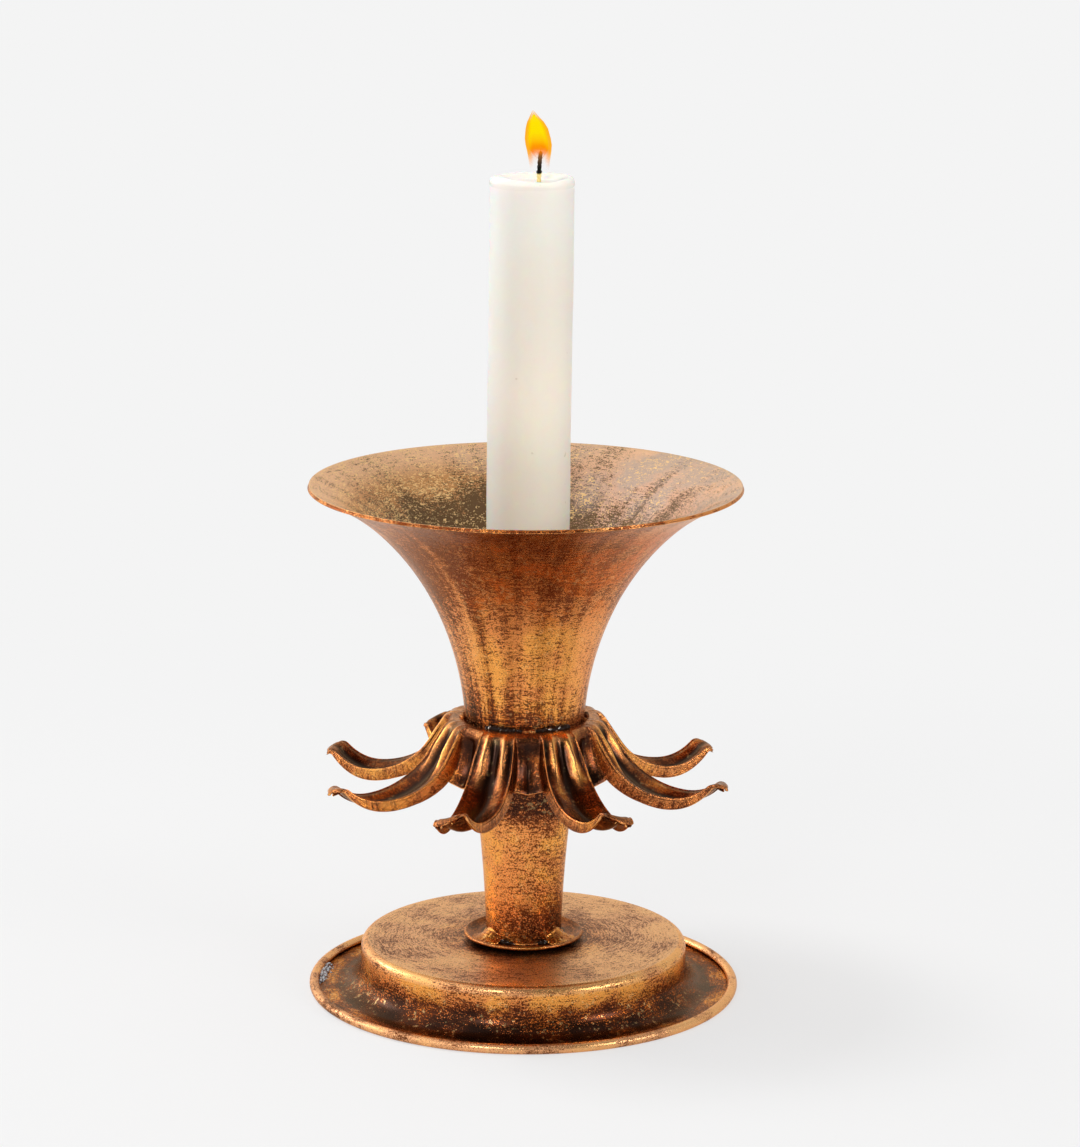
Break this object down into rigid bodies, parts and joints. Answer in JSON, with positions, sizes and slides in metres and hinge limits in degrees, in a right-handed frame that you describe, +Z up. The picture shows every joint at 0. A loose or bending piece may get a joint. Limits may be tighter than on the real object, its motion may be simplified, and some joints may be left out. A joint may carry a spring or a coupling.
{
  "type": "candle holder",
  "caption": "Table candle holder with a stepped round pan, tapered stem, petal collar and wide trumpet cup, holding a tall candle.",
  "frame": {"origin": "on the table, under the middle of the round pan", "axes": "+Z up along the stem; +X to the right and -Y towards the viewer, as the picture shows the object"},
  "size_m": [0.1154, 0.1154, 0.2261],
  "materials": {
    "aged_copper": "aged copper plating, rubbed and lacquered",
    "dark_copper": "aged copper plating, dark",
    "solder": "dull solder",
    "zinc_steel": "zinc plated",
    "wax": "plain wax, faintly glossy",
    "wick_cotton": "charred cotton"
  },
  "bodies": {
    "holder": {"base_pan": "aged_copper", "rim_solder": "solder", "foot_washer": "dark_copper", "foot_weld": "dark_copper", "foot_nut": "zinc_steel", "base_screw": "zinc_steel", "screw_washer": "zinc_steel", "stem_tube": "aged_copper", "candle_seat": "dark_copper", "flared_cup": "aged_copper", "petal_collar": "aged_copper", "collar_tacks": "aged_copper"},
    "candle": {"candle": "wax", "wick": "wick_cotton"}
  },
  "joints": [
    {"name": "candle_lift", "type": "slide", "parent": "holder", "child": "candle", "axis": [0.0073, 0, 1], "range_m": [0, 0.1]}
  ]
}
